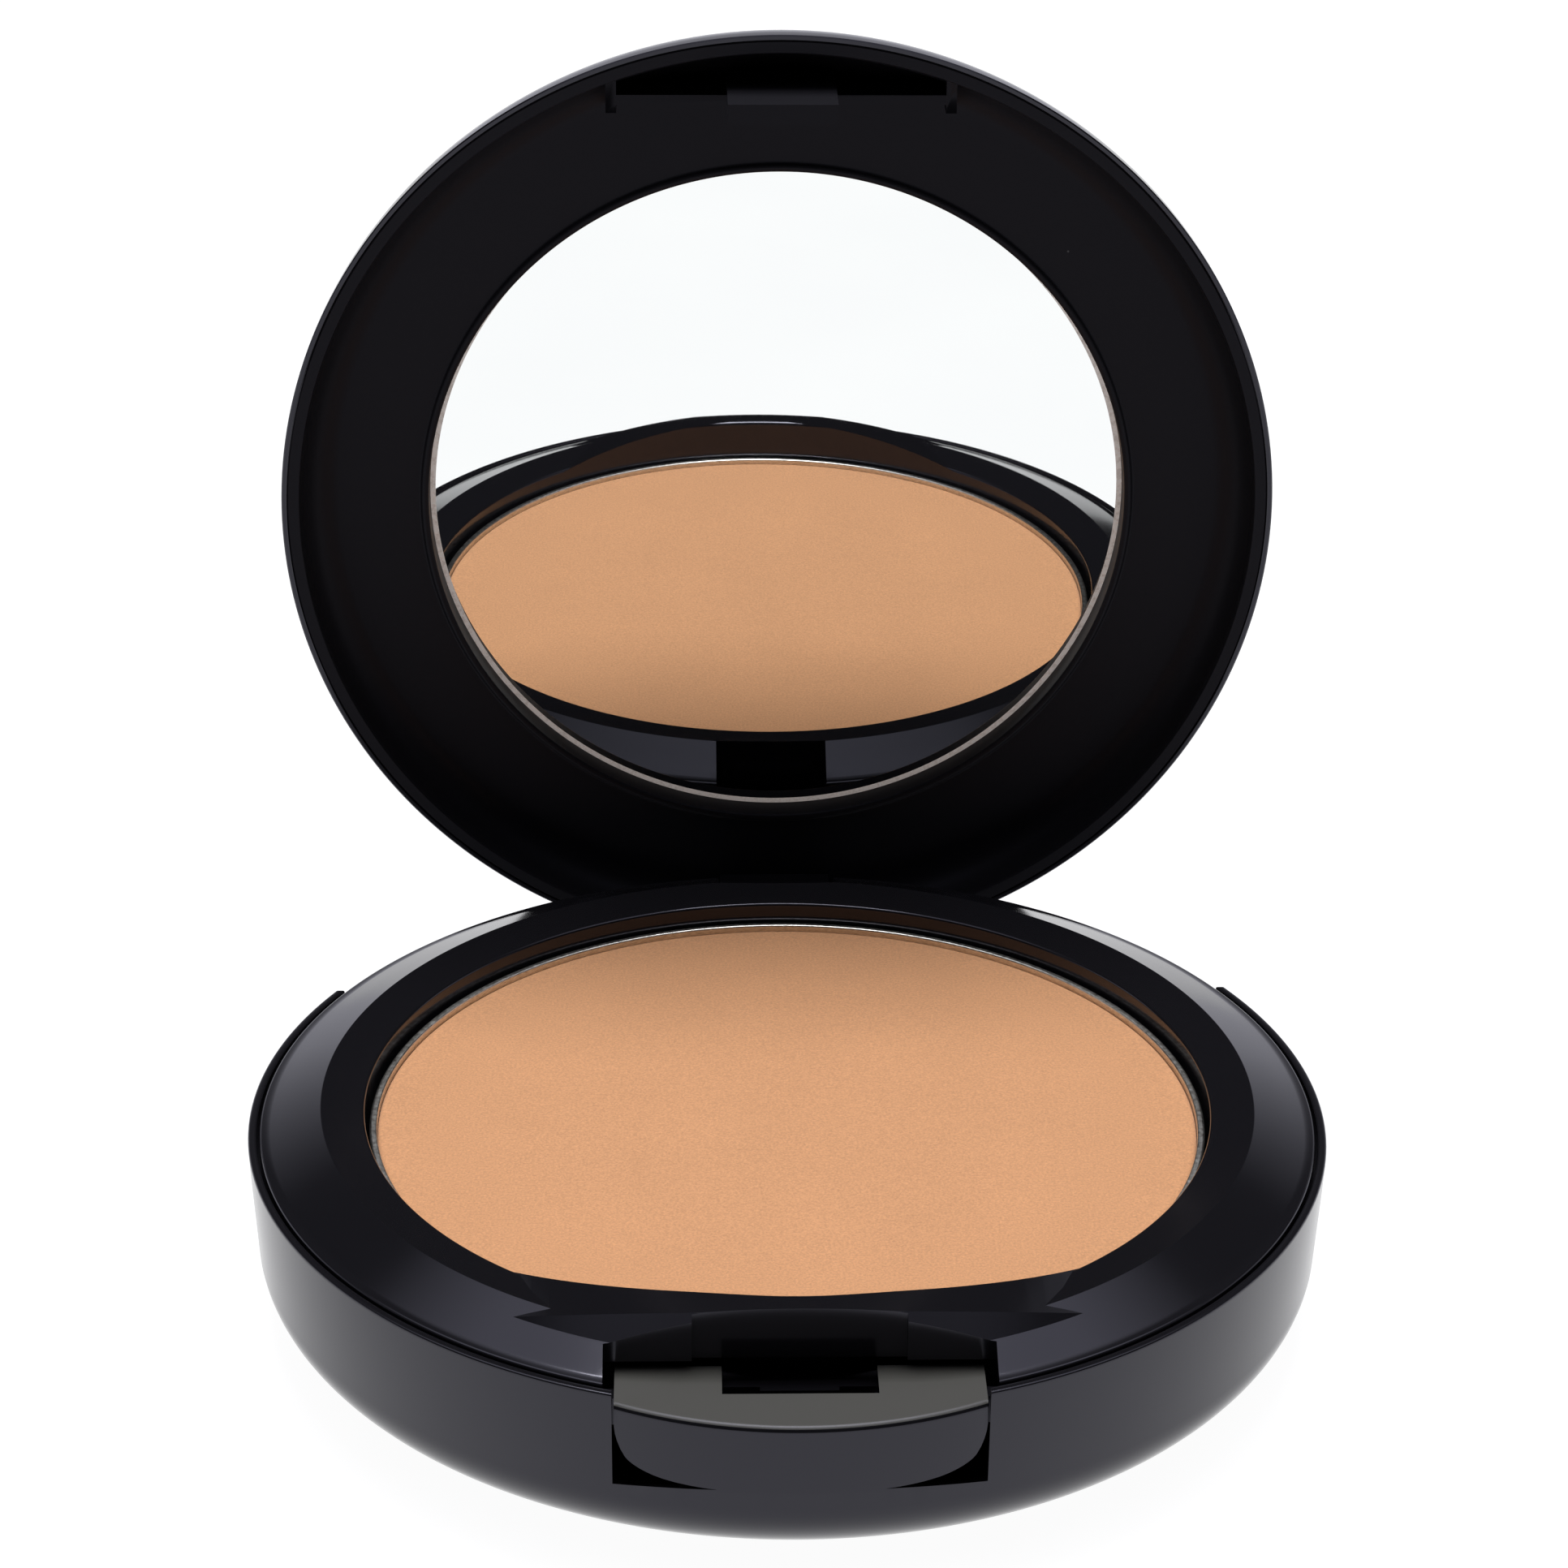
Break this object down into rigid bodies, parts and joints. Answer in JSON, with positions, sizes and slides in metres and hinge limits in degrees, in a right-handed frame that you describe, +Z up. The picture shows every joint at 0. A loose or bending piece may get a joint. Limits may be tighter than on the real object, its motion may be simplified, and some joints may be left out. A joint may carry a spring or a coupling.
{
  "type": "powder compact",
  "caption": "Round two-tier powder compact with a domed mirror lid, a hinged tray of pressed powder, a sponge compartment and a push-button latch.",
  "frame": {"origin": "centre of the flat foot under the case", "axes": "+Z up, -Y towards the push button at the front, +Y towards the hinge, +X to the right seen from the front"},
  "size_m": [0.078, 0.0907, 0.0835],
  "materials": {
    "case_gloss_black": "high gloss moulded",
    "tray_gloss_black": "high gloss moulded",
    "lid_gloss_black": "high gloss moulded",
    "frame_satin_black": "satin moulded",
    "button_black": "satin moulded",
    "spring_steel": "drawn wire",
    "pan_aluminium": "pressed sheet",
    "pressed_powder": "pressed powder",
    "sponge_foam": "fine closed foam",
    "adhesive": "pressure-sensitive adhesive",
    "label_film": "blank printed film",
    "mirror_glass": "silvered behind the glass"
  },
  "bodies": {
    "case": {"lower_case": "case_gloss_black", "base_label": "label_film", "hinge_pin": "spring_steel", "button_spring_left": "spring_steel", "button_spring_right": "spring_steel", "sponge": "sponge_foam"},
    "button": {"push_button": "button_black"},
    "tray": {"powder_tray": "tray_gloss_black", "pan": "pan_aluminium", "pan_adhesive": "adhesive", "powder_cake": "pressed_powder"},
    "lid": {"lid_shell": "lid_gloss_black", "lid_frame": "frame_satin_black", "mirror": "mirror_glass", "mirror_adhesive": "adhesive"}
  },
  "joints": [
    {"name": "tray_lift", "type": "hinge", "parent": "case", "child": "tray", "pos_m": [0, 0.0355, 0.009], "axis": [-1, 0, 0], "range_deg": [0, 40]},
    {"name": "lid_hinge", "type": "hinge", "parent": "tray", "child": "lid", "pos_m": [0, 0.0355, 0.009], "axis": [-1, 0, 0], "range_deg": [-88, 0]},
    {"name": "button_press", "type": "slide", "parent": "case", "child": "button", "axis": [0, 1, 0], "range_m": [0, 0.00075], "stiffness_N_per_m": 600, "springref_m": -0.002, "deforming": ["button_spring_left", "button_spring_right"]}
  ]
}
